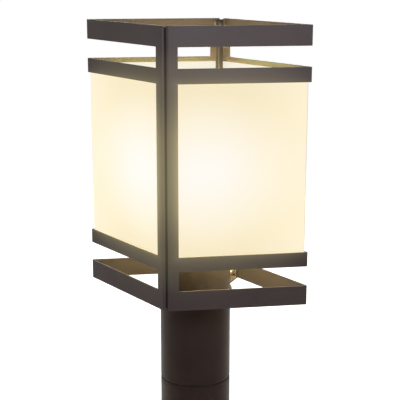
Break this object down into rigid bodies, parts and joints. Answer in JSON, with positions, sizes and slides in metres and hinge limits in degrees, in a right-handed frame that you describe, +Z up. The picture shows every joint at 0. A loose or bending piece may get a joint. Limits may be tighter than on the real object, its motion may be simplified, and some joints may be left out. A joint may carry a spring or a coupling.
{
  "type": "post lantern",
  "caption": "Outdoor post lantern: folded dark bronze frame with open bands, frosted panes, open top and lit lamp, on a round fitter that slips over a post.",
  "frame": {"origin": "middle of the fitter sleeve's lower end, where the post enters", "axes": "+Z up along the post, the bolted seams on the Y axis with the front seam at -Y, the folded corners on the X axis"},
  "size_m": [0.2778, 0.1668, 0.4881],
  "materials": {
    "bronze_paint": "satin dark bronze powder coat",
    "zinc_steel": "bright zinc plated",
    "black_screws": "dark bronze lacquer",
    "ground_green": "green dyed zinc",
    "gasket_rubber": "matte black",
    "pad_rubber": "translucent soft pad",
    "frosted_glass": "cream frosted, lit from inside",
    "porcelain": "white glaze",
    "contact_brass": "plain",
    "bushing_plastic": "matte black",
    "lamp_metal": "bright",
    "lamp_insulator": "black glass",
    "lamp_glass": "frosted, lit"
  },
  "bodies": {
    "lantern": {"left_frame": "bronze_paint", "right_frame": "bronze_paint", "fitter_sleeve": "bronze_paint", "fitter_tube": "bronze_paint", "fitter_cap": "bronze_paint", "base_strap": "bronze_paint", "socket_cup": "bronze_paint", "glass_ledges": "bronze_paint", "seam_nuts": "zinc_steel", "strap_studs": "zinc_steel", "strap_nuts": "zinc_steel", "nipple": "zinc_steel", "nipple_nuts": "zinc_steel", "pane_clips": "zinc_steel", "seam_screws": "black_screws", "ground_screw": "ground_green", "seam_gasket_front": "gasket_rubber", "seam_gasket_back": "gasket_rubber", "glass_pads": "pad_rubber", "socket_body": "porcelain", "socket_shell": "contact_brass", "socket_contact": "contact_brass", "terminal_screws": "contact_brass", "wire_bushing": "bushing_plastic"},
    "lamp": {"lamp_tip": "contact_brass", "lamp_insulator": "lamp_insulator", "lamp_cap": "lamp_metal", "lamp_bulb": "lamp_glass"},
    "pane_front_left": {"pane_front_left": "frosted_glass"},
    "pane_front_right": {"pane_front_right": "frosted_glass"},
    "pane_back_left": {"pane_back_left": "frosted_glass"},
    "pane_back_right": {"pane_back_right": "frosted_glass"},
    "set_screw_front": {"set_screw_front": "black_screws"},
    "set_screw_right": {"set_screw_right": "black_screws"},
    "set_screw_left": {"set_screw_left": "black_screws"}
  },
  "joints": [
    {"name": "lamp_lift", "type": "slide", "parent": "lantern", "child": "lamp", "axis": [0, 0, 1], "range_m": [0, 0.26]},
    {"name": "pane_front_left_lift", "type": "slide", "parent": "lantern", "child": "pane_front_left", "axis": [0, 0, 1], "range_m": [0, 0.275]},
    {"name": "pane_front_right_lift", "type": "slide", "parent": "lantern", "child": "pane_front_right", "axis": [0, 0, 1], "range_m": [0, 0.275]},
    {"name": "pane_back_left_lift", "type": "slide", "parent": "lantern", "child": "pane_back_left", "axis": [0, 0, 1], "range_m": [0, 0.275]},
    {"name": "pane_back_right_lift", "type": "slide", "parent": "lantern", "child": "pane_back_right", "axis": [0, 0, 1], "range_m": [0, 0.275]},
    {"name": "set_screw_front_travel", "type": "slide", "parent": "lantern", "child": "set_screw_front", "axis": [0, -1, 0], "range_m": [-0.0008, 0.003]},
    {"name": "set_screw_right_travel", "type": "slide", "parent": "lantern", "child": "set_screw_right", "axis": [0.866, 0.5, 0], "range_m": [-0.0008, 0.003]},
    {"name": "set_screw_left_travel", "type": "slide", "parent": "lantern", "child": "set_screw_left", "axis": [-0.866, 0.5, 0], "range_m": [-0.0008, 0.003]}
  ]
}
